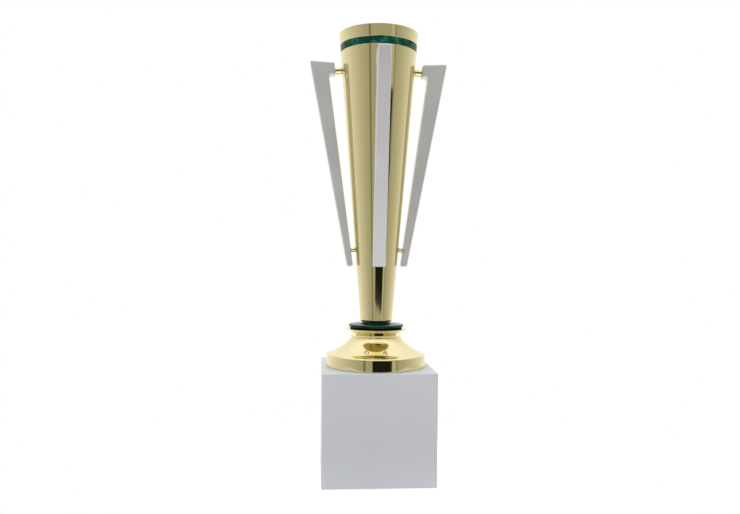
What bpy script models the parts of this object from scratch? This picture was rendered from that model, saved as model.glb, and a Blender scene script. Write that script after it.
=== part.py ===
"""Cup trophy: a tall gilt cone cup on a turned foot and a square block, with four upright fins.

Units are metres and +Z is up. The origin is the centre of the block's underside, so the trophy
stands on the plane z = 0 and its axis is the Z axis. Every object is one separate piece.
"""

import math
from collections import namedtuple

import bmesh
import bpy
from mathutils import Vector

MM = 0.001
GAP = 0.3 * MM  # clearance left between pieces that touch
MERGE = 0.001 * MM

# Block and the tie rod that clamps the whole stack together
BLOCK_SIDE = 100.0 * MM
BLOCK_HEIGHT = 98.4 * MM
BLOCK_EDGE = 0.8 * MM
COUNTERBORE_RADIUS = 11.0 * MM
COUNTERBORE_DEPTH = 14.0 * MM
ROD_RADIUS = 3.0 * MM
ROD_CHAMFER = 0.6 * MM
ROD_PAST_NUT = 3.0 * MM
NUT_ACROSS_FLATS = 10.0 * MM
NUT_HEIGHT = 5.0 * MM
WASHER_THICKNESS = 1.6 * MM
WASHER_EDGE = 0.3 * MM
BASE_WASHER_RADIUS = 9.0 * MM
CUP_WASHER_RADIUS = 8.0 * MM

# Foot
FOOT_WALL = 1.4 * MM
SKIRT_RADIUS = 45.6 * MM
SKIRT_HEIGHT = 11.0 * MM
SHOULDER = 1.7 * MM
NECK_RADIUS = 22.8 * MM
NECK_HEIGHT = 27.8 * MM  # above the underside of the foot
FLARE_END = 11.95 * MM  # height of the flare's foot, where the shoulder begins
FLARE_SPREAD = 18.8 * MM
FLARE_POWER = 1.66
LEDGE_SPREAD = 1.3 * MM
LEDGE_POWER = 24.0
LIP_RADIUS = 28.3 * MM
LIP_HEIGHT = 34.2 * MM  # above the underside of the foot
LIP_THICKNESS = 0.8 * MM
LIP_CHAMFER = 0.3 * MM
LIP_CONE = 2.4 * MM  # how far the cone between neck and lip spreads
LIP_POWER = 8.3
DISH_DEPTH = 0.6 * MM
DISH_RADIUS = 26.6 * MM

# Marbled ring and the spacer below it
SPACER_DISC_RADIUS = 24.0 * MM
SPACER_DISC_THICKNESS = 1.6 * MM
RING_RADIUS = 25.2 * MM
RING_THICKNESS = 3.9 * MM
RING_CROWN_RADIUS = 12.5 * MM  # the flat top that the cup stands on
RING_CROWN_BLEND = 10.0 * MM
RING_EDGE_DROP = 1.65 * MM  # from the crown to the upper corner of the edge
RING_UPPER_EDGE = 0.9 * MM
RING_LOWER_EDGE = 1.1 * MM

# Cup
CUP_WALL = 1.6 * MM
CUP_BOTTOM_RADIUS = 14.5 * MM
CUP_BOTTOM_EDGE = 2.6 * MM
CUP_FLOOR_EDGE = 1.5 * MM
CUP_RIM_RADIUS = 36.8 * MM
CUP_HEIGHT = 265.5 * MM
RIM_EDGE = 0.55 * MM
RIM_STRIP_HEIGHT = 10.8 * MM  # from the marbled band's groove up to the rim
GROOVE_HEIGHT = 6.6 * MM
GROOVE_DEPTH = 1.0 * MM
GROOVE_CHAMFER = 0.3 * MM
BAND_THICKNESS = 0.45 * MM

# Fins, with heights above the underside of the cup
FIN_THICKNESS = 11.6 * MM
FIN_EDGE = 1.1 * MM
FIN_CORNER = 1.6 * MM
FIN_NOTCH_FILLET = 2.2 * MM
FIN_BOTTOM_HEIGHT = 51.3 * MM
FIN_BOTTOM_INNER = 22.2 * MM
FIN_BOTTOM_OUTER = 27.7 * MM
FIN_TOP_OUTER_HEIGHT = 239.4 * MM
FIN_TOP_INNER_HEIGHT = 238.2 * MM
FIN_TOP_OUTER = 63.6 * MM
NOTCH_HEIGHT = 227.2 * MM
NOTCH_RADIUS = 46.2 * MM
HOOK_CLEARANCE = 6.5 * MM  # square to the cup's wall

# Spacers and screws that hold each fin to the cup: height on the cup, outer radius of the spacer,
# radius of the screw and the screw's length in the fin
Fixing = namedtuple("Fixing", "level height spacer_radius screw_radius grip")
FIXINGS = (
    Fixing("upper", 231.8 * MM, 3.75 * MM, 1.5 * MM, 9.0 * MM),
    Fixing("lower", 66.7 * MM, 2.35 * MM, 1.25 * MM, 3.4 * MM),
)
SPACER_EDGE = 0.25 * MM
SCREW_CHAMFER = 0.3 * MM
HEAD_RADIUS_RATIO = 1.85  # these five are shares of the screw's radius
HEAD_HEIGHT_RATIO = 1.2
HEAD_EDGE_RATIO = 0.48
SOCKET_DEPTH_RATIO = 0.72
SOCKET_WIDTH_RATIO = 1.6
HEAD_SEAT_GAP = 0.45 * MM  # the flat head's clearance to the cup's hollow side

# Levels from the bottom up
FOOT_BOTTOM = BLOCK_HEIGHT + GAP
DISH_TOP = FOOT_BOTTOM + LIP_HEIGHT - DISH_DEPTH
SPACER_DISC_BOTTOM = DISH_TOP + GAP
RING_BOTTOM = SPACER_DISC_BOTTOM + SPACER_DISC_THICKNESS + GAP
CUP_BOTTOM = RING_BOTTOM + RING_THICKNESS + GAP
CUP_TAPER = (CUP_RIM_RADIUS - CUP_BOTTOM_RADIUS) / CUP_HEIGHT
WALL_LEAN = math.atan(CUP_TAPER)
FIN_TAPER = (NOTCH_RADIUS - FIN_BOTTOM_INNER) / (NOTCH_HEIGHT - FIN_BOTTOM_HEIGHT)
ROD_HOLE_RADIUS = ROD_RADIUS + GAP

ROUND_STEPS = 48
MEDIUM_STEPS = 32
SMALL_STEPS = 16
SIDES = {"right": 0, "back": 90, "left": 180, "front": 270}  # azimuth of each fin, degrees


# Outlines ---------------------------------------------------------------------------------------


def rounded(corners, steps=3):
    """The outline through (x, y, radius) corners, each one with a radius turned into an arc."""
    outline = []
    for index, (x, y, radius) in enumerate(corners):
        corner = Vector((x, y))
        if radius == 0:
            outline.append((x, y))
            continue
        before = (Vector(corners[index - 1][:2]) - corner).normalized()
        after = (Vector(corners[(index + 1) % len(corners)][:2]) - corner).normalized()
        half_angle = before.angle(after) / 2
        centre = corner + (before + after).normalized() * radius / math.sin(half_angle)
        start = corner + before * radius / math.tan(half_angle) - centre
        end = corner + after * radius / math.tan(half_angle) - centre
        turn = start.angle_signed(end)
        first = math.atan2(start.y, start.x)
        for step in range(steps + 1):
            angle = first - turn * step / steps
            outline.append((centre.x + radius * math.cos(angle), centre.y + radius * math.sin(angle)))
    return outline


def cup_radius(height):
    """The cup's outer radius at a height above its underside."""
    return CUP_BOTTOM_RADIUS + CUP_TAPER * height


def fin_inner_radius(height):
    """The distance from the axis to a fin's long inner edge."""
    return FIN_BOTTOM_INNER + FIN_TAPER * (height - FIN_BOTTOM_HEIGHT)


def clearance(fixing):
    """The distance from the cup's wall to the fin at a fixing, square to the wall."""
    if fixing.level == "upper":
        return HOOK_CLEARANCE
    gap = fin_inner_radius(fixing.height) - cup_radius(fixing.height)
    return gap * math.cos(WALL_LEAN)


def spacer_length(fixing):
    """The length that fits between wall and fin, less what the fin's own lean takes away."""
    lean = 0.0 if fixing.level == "upper" else math.atan(FIN_TAPER) - WALL_LEAN
    return clearance(fixing) - 2 * GAP - fixing.spacer_radius * math.tan(lean)


# Building blocks --------------------------------------------------------------------------------


def clear_scene():
    for obj in list(bpy.data.objects):
        bpy.data.objects.remove(obj, do_unlink=True)


def make_material(name, colour, roughness, metallic):
    material = bpy.data.materials.new(name)
    material.use_nodes = True
    shader = material.node_tree.nodes["Principled BSDF"]
    shader.inputs["Base Color"].default_value = (*colour, 1.0)
    shader.inputs["Roughness"].default_value = roughness
    shader.inputs["Metallic"].default_value = metallic
    return material


def add_object(name, mesh, material, parent=None):
    obj = bpy.data.objects.new(name, mesh)
    bpy.context.scene.collection.objects.link(obj)
    if material and not mesh.materials:
        mesh.materials.append(material)
    obj.parent = parent
    return obj


def mesh_from(bm, name, sharp_angle=35):
    """A smooth-shaded mesh with its faces pointing out and its edges sharp past an angle."""
    bmesh.ops.remove_doubles(bm, verts=bm.verts, dist=MERGE)
    bmesh.ops.recalc_face_normals(bm, faces=bm.faces)
    mesh = bpy.data.meshes.new(name)
    bm.to_mesh(mesh)
    bm.free()
    mesh.shade_smooth()
    mesh.set_sharp_from_angle(angle=math.radians(sharp_angle))
    return mesh


def turned_mesh(name, outline, steps=ROUND_STEPS):
    """A (radius, height) outline turned about the Z axis."""
    bm = bmesh.new()
    verts = [bm.verts.new((radius, 0, height)) for radius, height in outline]
    pairs = zip(verts, verts[1:] + verts[:1])
    edges = [bm.edges.new(pair) for pair in pairs if max(pair[0].co.x, pair[1].co.x) > MERGE]
    bmesh.ops.spin(
        bm, geom=verts + edges, axis=(0, 0, 1), cent=(0, 0, 0), angle=math.tau, steps=steps
    )
    return mesh_from(bm, name)


def prism_mesh(name, outline, thickness, edge):
    """An (x, z) outline made solid along Y, centred on y = 0, with its long edges rounded."""
    bm = bmesh.new()
    face = bm.faces.new([bm.verts.new((x, -thickness / 2, z)) for x, z in outline])
    extruded = bmesh.ops.extrude_face_region(bm, geom=[face])["geom"]
    moved = [item for item in extruded if isinstance(item, bmesh.types.BMVert)]
    bmesh.ops.translate(bm, verts=moved, vec=(0, thickness, 0))
    rims = [e for e in bm.edges if abs(e.verts[0].co.y - e.verts[1].co.y) < MERGE]
    bmesh.ops.bevel(bm, geom=rims, offset=edge, segments=2, profile=0.5, affect="EDGES")
    return mesh_from(bm, name)


def hexagon_mesh(name, across_flats, height):
    """A six-sided bar standing on z = 0."""
    corners = [math.radians(60 * index + 30) for index in range(6)]
    circle = across_flats / 2 / math.cos(math.radians(30))
    bm = bmesh.new()
    face = bm.faces.new(
        [bm.verts.new((circle * math.cos(a), circle * math.sin(a), 0)) for a in corners]
    )
    extruded = bmesh.ops.extrude_face_region(bm, geom=[face])["geom"]
    moved = [item for item in extruded if isinstance(item, bmesh.types.BMVert)]
    bmesh.ops.translate(bm, verts=moved, vec=(0, 0, height))
    return mesh_from(bm, name)


def bar_mesh(name, radius, low, high):
    """A plain round bar along Z, used as a drill."""
    return turned_mesh(name, [(0, high), (radius, high), (radius, low), (0, low)], SMALL_STEPS)


def carve(obj, cutters):
    """Cuts each cutter out of an object, keeps the result as its mesh and removes the cutters."""
    for cutter in cutters:
        cutter.display_type = "WIRE"
        cutter.hide_render = True
        modifier = obj.modifiers.new(cutter.name, "BOOLEAN")
        modifier.operation = "DIFFERENCE"
        modifier.solver = "EXACT"
        modifier.object = cutter
    bpy.context.view_layer.update()
    evaluated = obj.evaluated_get(bpy.context.evaluated_depsgraph_get())
    mesh = bpy.data.meshes.new_from_object(evaluated)
    mesh.name = obj.data.name
    obj.modifiers.clear()
    obj.data = mesh
    for cutter in cutters:
        bpy.data.objects.remove(cutter, do_unlink=True)


def lay_on_wall(obj, height, distance):
    """Puts an object's Z axis square to the cup's wall, its origin at a distance outside it."""
    radius = cup_radius(height) + distance * math.cos(WALL_LEAN)
    obj.location = (radius, 0, CUP_BOTTOM + height - distance * math.sin(WALL_LEAN))
    obj.rotation_euler = (0, math.pi / 2 + WALL_LEAN, 0)


# Pieces of the stack ----------------------------------------------------------------------------


def make_block(material):
    bm = bmesh.new()
    bmesh.ops.create_cube(bm, size=BLOCK_SIDE)
    bmesh.ops.scale(bm, verts=bm.verts, vec=(1, 1, BLOCK_HEIGHT / BLOCK_SIDE))
    bmesh.ops.bevel(bm, geom=bm.edges[:], offset=BLOCK_EDGE, segments=2, profile=0.5, affect="EDGES")
    block = add_object("base_block", mesh_from(bm, "base_block"), material)
    block.location = (0, 0, BLOCK_HEIGHT / 2)
    past = 2 * MM
    cutter_outline = [
        (0, BLOCK_HEIGHT + past),
        (ROD_HOLE_RADIUS, BLOCK_HEIGHT + past),
        (ROD_HOLE_RADIUS, COUNTERBORE_DEPTH),
        (COUNTERBORE_RADIUS, COUNTERBORE_DEPTH),
        (COUNTERBORE_RADIUS, -past),
        (0, -past),
    ]
    cutter = add_object("rod_hole", turned_mesh("rod_hole", cutter_outline, MEDIUM_STEPS), material)
    carve(block, [cutter])


def make_washer(name, radius, bottom, material):
    outline = rounded(
        [
            (ROD_HOLE_RADIUS, bottom, 0),
            (radius, bottom, WASHER_EDGE),
            (radius, bottom + WASHER_THICKNESS, WASHER_EDGE),
            (ROD_HOLE_RADIUS, bottom + WASHER_THICKNESS, 0),
        ],
        steps=1,
    )
    add_object(name, turned_mesh(name, outline, MEDIUM_STEPS), material)


def make_nut(name, bottom, material):
    nut = add_object(name, hexagon_mesh(name, NUT_ACROSS_FLATS, NUT_HEIGHT), material)
    nut.location = (0, 0, bottom)
    hole = bar_mesh("nut_hole", ROD_HOLE_RADIUS, bottom - MM, bottom + NUT_HEIGHT + MM)
    carve(nut, [add_object("nut_hole", hole, material)])


def make_tie_rod(bottom, top, material):
    outline = [
        (0, bottom),
        (ROD_RADIUS - ROD_CHAMFER, bottom),
        (ROD_RADIUS, bottom + ROD_CHAMFER),
        (ROD_RADIUS, top - ROD_CHAMFER),
        (ROD_RADIUS - ROD_CHAMFER, top),
        (0, top),
    ]
    add_object("tie_rod", turned_mesh("tie_rod", outline, SMALL_STEPS), material)


def make_clamp(material):
    """The rod, with a washer and nut in the block's counterbore and another pair in the cup."""
    base_washer = COUNTERBORE_DEPTH - GAP - WASHER_THICKNESS
    base_nut = base_washer - GAP - NUT_HEIGHT
    cup_washer = CUP_BOTTOM + CUP_WALL + GAP
    cup_nut = cup_washer + WASHER_THICKNESS + GAP
    make_washer("base_washer", BASE_WASHER_RADIUS, base_washer, material)
    make_nut("base_nut", base_nut, material)
    make_washer("cup_washer", CUP_WASHER_RADIUS, cup_washer, material)
    make_nut("cup_nut", cup_nut, material)
    make_tie_rod(base_nut - ROD_PAST_NUT, cup_nut + NUT_HEIGHT + ROD_PAST_NUT, material)


def foot_flare():
    """Points (radius, height) down the foot's hollow flare, from the neck to the shoulder."""
    steps = 8
    points = []
    for step in range(steps + 1):
        share = step / steps
        spread = FLARE_SPREAD * share**FLARE_POWER + LEDGE_SPREAD * share**LEDGE_POWER
        height = NECK_HEIGHT - (NECK_HEIGHT - FLARE_END) * share
        points.append((NECK_RADIUS + spread, FOOT_BOTTOM + height))
    return points


def foot_lip():
    """Points (radius, height) from the lip's outer edge down to the neck."""
    rise = LIP_HEIGHT - LIP_THICKNESS - NECK_HEIGHT
    curl = LIP_RADIUS - NECK_RADIUS - LIP_CONE
    return [
        (
            NECK_RADIUS + LIP_CONE * share + curl * share**LIP_POWER,
            FOOT_BOTTOM + NECK_HEIGHT + rise * share,
        )
        for share in (1.0, 0.95, 0.88, 0.76, 0.4)
    ]


def inside_of(points, distance):
    """The points of a falling outline moved square to it, towards the axis."""
    moved = []
    for index, point in enumerate(points):
        before = Vector(points[max(index - 1, 0)])
        after = Vector(points[min(index + 1, len(points) - 1)])
        along = (after - before).normalized()
        moved.append((point[0] + along.y * distance, point[1] - along.x * distance))
    return moved


def make_foot(material):
    lip_top = FOOT_BOTTOM + LIP_HEIGHT
    plate_bottom = DISH_TOP - FOOT_WALL
    inner_skirt = SKIRT_RADIUS - FOOT_WALL
    flare = foot_flare()
    skirt = rounded(
        [
            (*flare[-1], 0),
            (SKIRT_RADIUS, FOOT_BOTTOM + SKIRT_HEIGHT, SHOULDER),
            (SKIRT_RADIUS, FOOT_BOTTOM, 0),
        ]
    )
    outline = [(ROD_HOLE_RADIUS, DISH_TOP), (DISH_RADIUS, DISH_TOP)]
    outline += [(LIP_RADIUS - LIP_CHAMFER, lip_top), (LIP_RADIUS, lip_top - LIP_CHAMFER)]
    outline += foot_lip()
    outline += flare + skirt[1:]
    outline += [(inner_skirt, FOOT_BOTTOM), (inner_skirt, FOOT_BOTTOM + SKIRT_HEIGHT - FOOT_WALL)]
    outline += inside_of(flare, FOOT_WALL)[-2::-2]
    outline += [(NECK_RADIUS - FOOT_WALL, plate_bottom), (ROD_HOLE_RADIUS, plate_bottom)]
    add_object("foot_shell", turned_mesh("foot_shell", outline), material)


def make_spacer_disc(material):
    top = SPACER_DISC_BOTTOM + SPACER_DISC_THICKNESS
    outline = [
        (ROD_HOLE_RADIUS, top),
        (SPACER_DISC_RADIUS, top),
        (SPACER_DISC_RADIUS, SPACER_DISC_BOTTOM),
        (ROD_HOLE_RADIUS, SPACER_DISC_BOTTOM),
    ]
    add_object("spacer_disc", turned_mesh("spacer_disc", outline, MEDIUM_STEPS), material)


def make_ring(material):
    """The marbled disc between foot and cup: domed on top, with a rounded edge."""
    top = RING_BOTTOM + RING_THICKNESS
    outline = rounded(
        [
            (ROD_HOLE_RADIUS, top, 0),
            (RING_CROWN_RADIUS, top, RING_CROWN_BLEND),
            (RING_RADIUS, top - RING_EDGE_DROP, RING_UPPER_EDGE),
            (RING_RADIUS, RING_BOTTOM, RING_LOWER_EDGE),
            (ROD_HOLE_RADIUS, RING_BOTTOM, 0),
        ]
    )
    add_object("marble_ring", turned_mesh("marble_ring", outline), material)


# Cup --------------------------------------------------------------------------------------------


def make_cup(material):
    groove_high = CUP_HEIGHT - RIM_STRIP_HEIGHT
    groove_low = groove_high - GROOVE_HEIGHT
    cut = GROOVE_CHAMFER
    inner_rim = cup_radius(CUP_HEIGHT) - CUP_WALL
    inner_floor = cup_radius(CUP_WALL) - CUP_WALL
    corners = [
        (ROD_HOLE_RADIUS, CUP_WALL, 0),
        (inner_floor, CUP_WALL, CUP_FLOOR_EDGE),
        (inner_rim, CUP_HEIGHT, RIM_EDGE),
        (cup_radius(CUP_HEIGHT), CUP_HEIGHT, RIM_EDGE),
        (cup_radius(groove_high + cut), groove_high + cut, 0),
        (cup_radius(groove_high) - cut, groove_high, 0),
        (cup_radius(groove_high) - GROOVE_DEPTH, groove_high, 0),
        (cup_radius(groove_low) - GROOVE_DEPTH, groove_low, 0),
        (cup_radius(groove_low) - cut, groove_low, 0),
        (cup_radius(groove_low - cut), groove_low - cut, 0),
        (cup_radius(0), 0, CUP_BOTTOM_EDGE),
        (ROD_HOLE_RADIUS, 0, 0),
    ]
    outline = [(radius, CUP_BOTTOM + height) for radius, height in rounded(corners, steps=2)]
    cup = add_object("cup_shell", turned_mesh("cup_shell", outline), material)
    drills = []
    for azimuth in SIDES.values():
        station = add_station(f"drill_station_{azimuth}", azimuth)
        for fixing in FIXINGS:
            bar = bar_mesh("drill", fixing.screw_radius + GAP, -2 * CUP_WALL, CUP_WALL)
            drill = add_object("drill", bar, material, station)
            lay_on_wall(drill, fixing.height, 0)
            drills.append(drill)
    carve(cup, drills)


def make_band(material):
    """The marbled band that lies in the groove below the cup's rim."""
    high = CUP_HEIGHT - RIM_STRIP_HEIGHT - GAP
    low = high - GROOVE_HEIGHT + 2 * GAP
    inset = GROOVE_DEPTH - GAP
    outline = [
        (cup_radius(high) - inset, CUP_BOTTOM + high),
        (cup_radius(high) - inset + BAND_THICKNESS, CUP_BOTTOM + high),
        (cup_radius(low) - inset + BAND_THICKNESS, CUP_BOTTOM + low),
        (cup_radius(low) - inset, CUP_BOTTOM + low),
    ]
    add_object("rim_band", turned_mesh("rim_band", outline), material)


# Fins and their fixings -------------------------------------------------------------------------


def add_station(name, azimuth):
    """An empty on the axis, turned so that its +X points at one of the four sides."""
    station = bpy.data.objects.new(name, None)
    bpy.context.scene.collection.objects.link(station)
    station.rotation_euler = (0, 0, math.radians(azimuth))
    return station


def make_fin_mesh(material):
    """One fin in the XZ plane: a tapering upright with a hook at the top, drilled twice."""
    hook_gap = HOOK_CLEARANCE / math.cos(WALL_LEAN)
    corners = [
        (FIN_TOP_OUTER, FIN_TOP_OUTER_HEIGHT, FIN_CORNER),
        (FIN_BOTTOM_OUTER, FIN_BOTTOM_HEIGHT, FIN_CORNER),
        (FIN_BOTTOM_INNER, FIN_BOTTOM_HEIGHT, FIN_CORNER),
        (NOTCH_RADIUS, NOTCH_HEIGHT, FIN_NOTCH_FILLET),
        (cup_radius(NOTCH_HEIGHT) + hook_gap, NOTCH_HEIGHT, FIN_CORNER),
        (cup_radius(FIN_TOP_INNER_HEIGHT) + hook_gap, FIN_TOP_INNER_HEIGHT, FIN_CORNER),
    ]
    outline = [(radius, CUP_BOTTOM + height) for radius, height in rounded(corners)]
    fin = add_object("fin", prism_mesh("fin", outline, FIN_THICKNESS, FIN_EDGE), material)
    drills = []
    for fixing in FIXINGS:
        low = clearance(fixing) - fixing.screw_radius
        high = clearance(fixing) + fixing.grip + 2 * GAP
        bar = bar_mesh("drill", fixing.screw_radius + GAP, low, high)
        drill = add_object("drill", bar, material)
        lay_on_wall(drill, fixing.height, 0)
        drills.append(drill)
    carve(fin, drills)
    mesh = fin.data
    bpy.data.objects.remove(fin, do_unlink=True)
    return mesh


def make_spacer_mesh(fixing):
    """A short tube along Z, standing on z = 0."""
    bore = fixing.screw_radius + GAP
    length = spacer_length(fixing)
    outline = rounded(
        [
            (bore, length, 0),
            (fixing.spacer_radius, length, SPACER_EDGE),
            (fixing.spacer_radius, 0, SPACER_EDGE),
            (bore, 0, 0),
        ],
        steps=1,
    )
    return turned_mesh(f"{fixing.level}_spacer", outline, SMALL_STEPS)


def make_screw_mesh(fixing, material):
    """A socket-head screw along Z: its head ends at z = 0 and its shank runs up from there."""
    radius = fixing.screw_radius
    length = HEAD_SEAT_GAP + CUP_WALL + clearance(fixing) + fixing.grip
    head_radius = radius * HEAD_RADIUS_RATIO
    head_height = radius * HEAD_HEIGHT_RATIO
    outline = rounded(
        [
            (0, length, 0),
            (radius - SCREW_CHAMFER, length, 0),
            (radius, length - SCREW_CHAMFER, 0),
            (radius, 0, 0),
            (head_radius, 0, 0),
            (head_radius, -head_height, radius * HEAD_EDGE_RATIO),
            (0, -head_height, 0),
        ],
        steps=2,
    )
    name = f"{fixing.level}_screw"
    screw = add_object(name, turned_mesh(name, outline, SMALL_STEPS), material)
    socket_mesh = hexagon_mesh("socket", radius * SOCKET_WIDTH_RATIO, head_height)
    socket = add_object("socket", socket_mesh, material)
    socket.location = (0, 0, radius * SOCKET_DEPTH_RATIO - 2 * head_height)
    carve(screw, [socket])
    mesh = screw.data
    bpy.data.objects.remove(screw, do_unlink=True)
    return mesh


def make_fins(fin_material, spacer_material, screw_material):
    fin_mesh = make_fin_mesh(fin_material)
    spacer_meshes = [make_spacer_mesh(fixing) for fixing in FIXINGS]
    screw_meshes = [make_screw_mesh(fixing, screw_material) for fixing in FIXINGS]
    for side, azimuth in SIDES.items():
        station = add_station(f"{side}_station", azimuth)
        add_object(f"fin_{side}", fin_mesh, fin_material, station)
        for fixing, spacer_mesh, screw_mesh in zip(FIXINGS, spacer_meshes, screw_meshes):
            spacer_name = f"{fixing.level}_spacer_{side}"
            spacer = add_object(spacer_name, spacer_mesh, spacer_material, station)
            lay_on_wall(spacer, fixing.height, GAP)
            screw_name = f"{fixing.level}_screw_{side}"
            screw = add_object(screw_name, screw_mesh, screw_material, station)
            lay_on_wall(screw, fixing.height, -CUP_WALL - HEAD_SEAT_GAP)


def main():
    clear_scene()
    gold = make_material("polished_gold", (0.83, 0.72, 0.42), 0.08, 1.0)
    marble = make_material("green_marble", (0.02, 0.10, 0.08), 0.12, 0.0)
    satin = make_material("satin_silver", (0.60, 0.60, 0.60), 0.38, 0.7)
    lacquer = make_material("block_lacquer", (0.62, 0.64, 0.68), 0.42, 0.5)
    steel = make_material("zinc_steel", (0.55, 0.56, 0.57), 0.3, 1.0)
    nylon = make_material("black_nylon", (0.02, 0.02, 0.02), 0.6, 0.0)
    make_block(lacquer)
    make_clamp(steel)
    make_foot(gold)
    make_spacer_disc(nylon)
    make_ring(marble)
    make_cup(gold)
    make_band(marble)
    make_fins(satin, gold, steel)


main()
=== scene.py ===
"""The cup trophy's looks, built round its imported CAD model.

Units are metres and +Z is up, in the same frame as the CAD: the origin is the centre of the
block's underside and the trophy's axis is the Z axis. Block, turned pieces, fins and spacers are
rebuilt with fine, smooth meshes in the CAD's places; screws, nuts, washers and rod are the CAD's.
"""

import math

import bmesh
import bpy
from mathutils import Matrix, Vector


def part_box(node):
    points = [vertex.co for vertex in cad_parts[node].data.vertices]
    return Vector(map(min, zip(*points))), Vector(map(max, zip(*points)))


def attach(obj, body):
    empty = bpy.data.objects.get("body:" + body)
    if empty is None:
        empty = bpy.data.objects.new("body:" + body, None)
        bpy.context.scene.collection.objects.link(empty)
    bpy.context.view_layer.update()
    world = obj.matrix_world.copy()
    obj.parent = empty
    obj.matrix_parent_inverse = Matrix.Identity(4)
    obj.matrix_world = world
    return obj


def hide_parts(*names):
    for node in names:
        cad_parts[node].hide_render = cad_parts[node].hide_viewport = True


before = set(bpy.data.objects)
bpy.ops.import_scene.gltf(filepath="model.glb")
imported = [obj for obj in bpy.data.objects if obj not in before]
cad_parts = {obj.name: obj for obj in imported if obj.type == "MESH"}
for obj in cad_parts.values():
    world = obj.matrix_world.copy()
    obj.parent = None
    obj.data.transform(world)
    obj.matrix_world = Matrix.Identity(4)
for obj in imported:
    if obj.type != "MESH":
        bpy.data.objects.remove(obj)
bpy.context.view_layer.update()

MM = 0.001
SIDES = {"right": 0, "back": 90, "left": 180, "front": 270}  # azimuth of each fin, degrees
LEVELS = ("upper", "lower")
ROUND_STEPS = 192
FLARE_STEPS = 48
LIP_STEPS = 24
SMALL_STEPS = 48

# Shapes that the CAD's boxes don't tell
BLOCK_EDGE = 0.8 * MM
COUNTERBORE_RADIUS = 11.0 * MM
COUNTERBORE_DEPTH = 14.0 * MM
ROD_HOLE_RADIUS = 3.3 * MM
FOOT_WALL = 1.4 * MM
SKIRT_HEIGHT = 11.0 * MM
SHOULDER = 1.7 * MM
NECK_RADIUS = 22.8 * MM
NECK_HEIGHT = 27.8 * MM
NECK_FILLET = 0.9 * MM
FLARE_END = 11.95 * MM
FLARE_SPREAD = 18.8 * MM
FLARE_POWER = 1.66
LEDGE_SPREAD = 1.3 * MM
LEDGE_POWER = 24.0
LIP_RADIUS = 28.3 * MM
LIP_THICKNESS = 0.8 * MM
LIP_EDGE = 0.3 * MM
LIP_CONE = 2.4 * MM
LIP_POWER = 8.3
DISH_DEPTH = 0.6 * MM
DISH_RADIUS = 26.6 * MM
RING_CROWN_RADIUS = 12.5 * MM
RING_CROWN_BLEND = 10.0 * MM
RING_EDGE_DROP = 1.65 * MM
RING_UPPER_EDGE = 0.9 * MM
RING_LOWER_EDGE = 1.1 * MM
CUP_WALL = 1.6 * MM
CUP_BOTTOM_RADIUS = 14.5 * MM
CUP_RIM_RADIUS = 36.8 * MM
CUP_BOTTOM_EDGE = 2.6 * MM
CUP_FLOOR_EDGE = 1.5 * MM
RIM_EDGE = 0.55 * MM
RIM_STRIP_HEIGHT = 10.8 * MM
GROOVE_HEIGHT = 6.6 * MM
GROOVE_DEPTH = 1.0 * MM
GROOVE_EDGE = 0.3 * MM
BAND_INSET = 0.7 * MM
BAND_THICKNESS = 0.45 * MM
BAND_EDGE = 0.12 * MM
FIN_EDGE = 1.1 * MM
FIN_CORNER = 1.6 * MM
FIN_NOTCH_FILLET = 2.2 * MM
FIN_BOTTOM_INNER = 22.2 * MM
FIN_BOTTOM_OUTER = 27.7 * MM
FIN_TOP_OUTER = 63.6 * MM
FIN_TOP_OUTER_HEIGHT = 239.4 * MM  # these heights are above the underside of the cup
FIN_TOP_INNER_HEIGHT = 238.2 * MM
NOTCH_HEIGHT = 227.2 * MM
FIN_BOTTOM_HEIGHT = 51.3 * MM
NOTCH_RADIUS = 46.2 * MM
HOOK_CLEARANCE = 6.5 * MM
SPACER_EDGE = 0.25 * MM
SCREW_CLEARANCE = 0.3 * MM
SCREW_RADIUS = {"upper": 1.5 * MM, "lower": 1.25 * MM}
SCREW_GRIP = {"upper": 9.0 * MM, "lower": 3.4 * MM}  # length in the fin


# The frame's levels -----------------------------------------------------------------------------


def low(node):
    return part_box(node)[0].z


def high(node):
    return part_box(node)[1].z


CUP_BOTTOM = low("cup_shell")
CUP_HEIGHT = high("cup_shell") - CUP_BOTTOM
CUP_TAPER = (CUP_RIM_RADIUS - CUP_BOTTOM_RADIUS) / CUP_HEIGHT
WALL_LEAN = math.atan(CUP_TAPER)
FIN_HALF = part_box("fin_right")[1].y


def cup_radius(z):
    """The cup's outer radius at a level."""
    return CUP_BOTTOM_RADIUS + CUP_TAPER * (z - CUP_BOTTOM)


# Outlines ---------------------------------------------------------------------------------------


def rounded(corners, steps=6):
    """The outline through (x, y, radius) corners, each one with a radius turned into an arc."""
    outline = []
    for index, (x, y, radius) in enumerate(corners):
        corner = Vector((x, y))
        if radius == 0:
            outline.append((x, y))
            continue
        before = (Vector(corners[index - 1][:2]) - corner).normalized()
        after = (Vector(corners[(index + 1) % len(corners)][:2]) - corner).normalized()
        half_angle = before.angle(after) / 2
        centre = corner + (before + after).normalized() * radius / math.sin(half_angle)
        start = corner + before * radius / math.tan(half_angle) - centre
        end = corner + after * radius / math.tan(half_angle) - centre
        turn = start.angle_signed(end)
        first = math.atan2(start.y, start.x)
        for step in range(steps + 1):
            angle = first - turn * step / steps
            across, up = radius * math.cos(angle), radius * math.sin(angle)
            outline.append((centre.x + across, centre.y + up))
    return outline


def divided(outline, longest=2.5 * MM, guard=0.12 * MM):
    """The closed outline with its long stretches divided, and a close point beside each end."""
    points = []
    for start, end in zip(outline, outline[1:] + outline[:1]):
        start, end = Vector(start), Vector(end)
        length = (end - start).length
        points.append(tuple(start))
        if length < 6 * guard:
            continue
        along = (end - start) / length
        points.append(tuple(start + along * guard))
        count = int(length / longest)
        points += [tuple(start + (end - start) * k / (count + 1)) for k in range(1, count + 1)]
        points.append(tuple(end - along * guard))
    return points


# Meshes -----------------------------------------------------------------------------------------


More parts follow.
